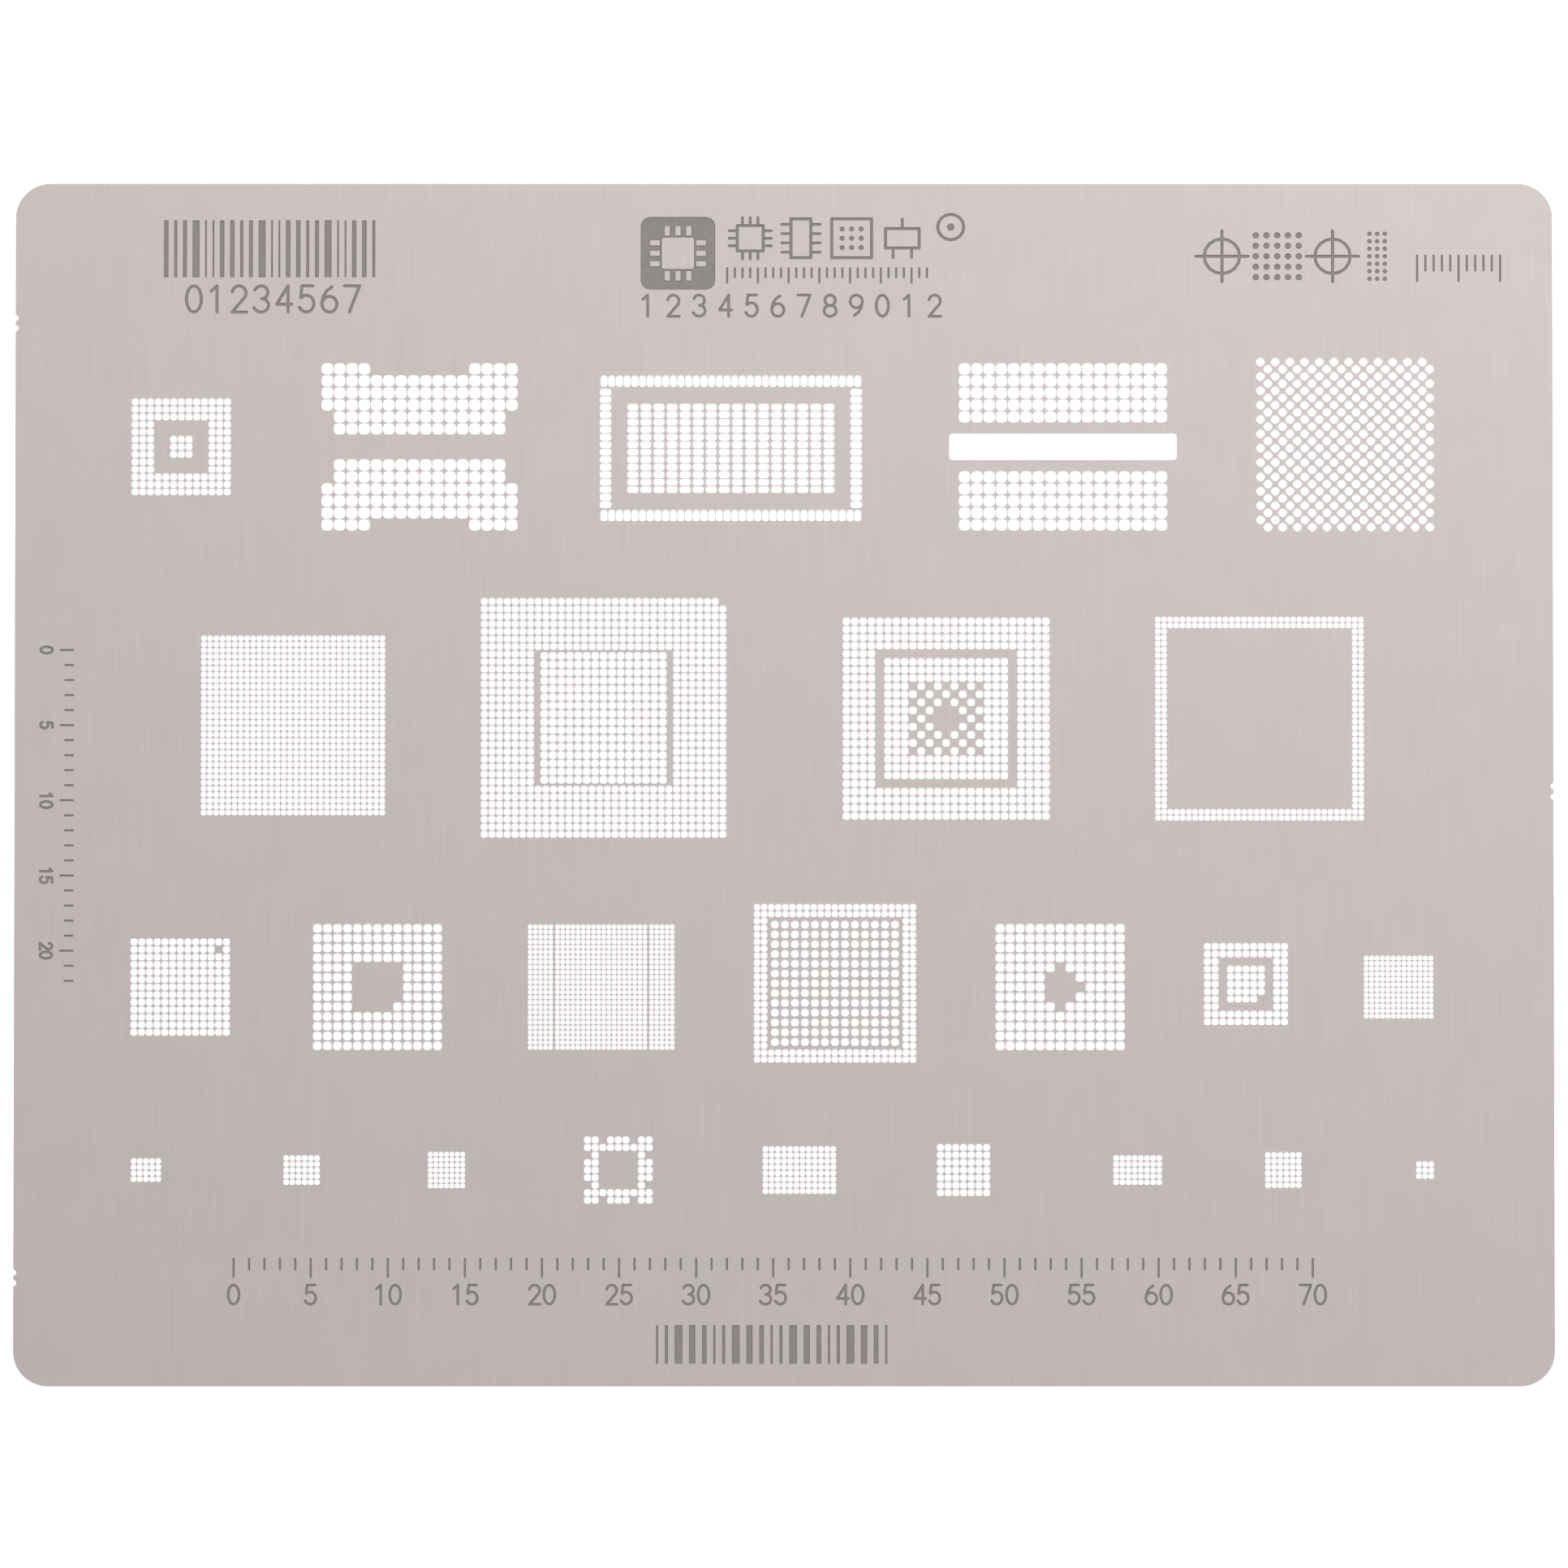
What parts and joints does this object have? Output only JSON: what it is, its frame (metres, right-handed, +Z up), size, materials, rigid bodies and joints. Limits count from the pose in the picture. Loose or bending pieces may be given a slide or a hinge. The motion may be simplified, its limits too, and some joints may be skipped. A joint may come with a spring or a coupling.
{
  "type": "solder paste stencil",
  "caption": "Thin flat sheet of etched spring steel with rounded corners and rows of fine aperture fields that print solder paste on to chip packages.",
  "frame": {"origin": "middle of the sheet's outline, on the plane of its underside", "axes": "+X along the sheet's length, +Y along its width towards the title band, +Z up out of its etched face"},
  "size_m": [0.1, 0.08, 0.0001],
  "materials": {
    "etched_steel": "satin etched steel with a very fine grain along Y"
  },
  "bodies": {
    "root": {"stencil_sheet": "etched_steel"}
  },
  "joints": []
}
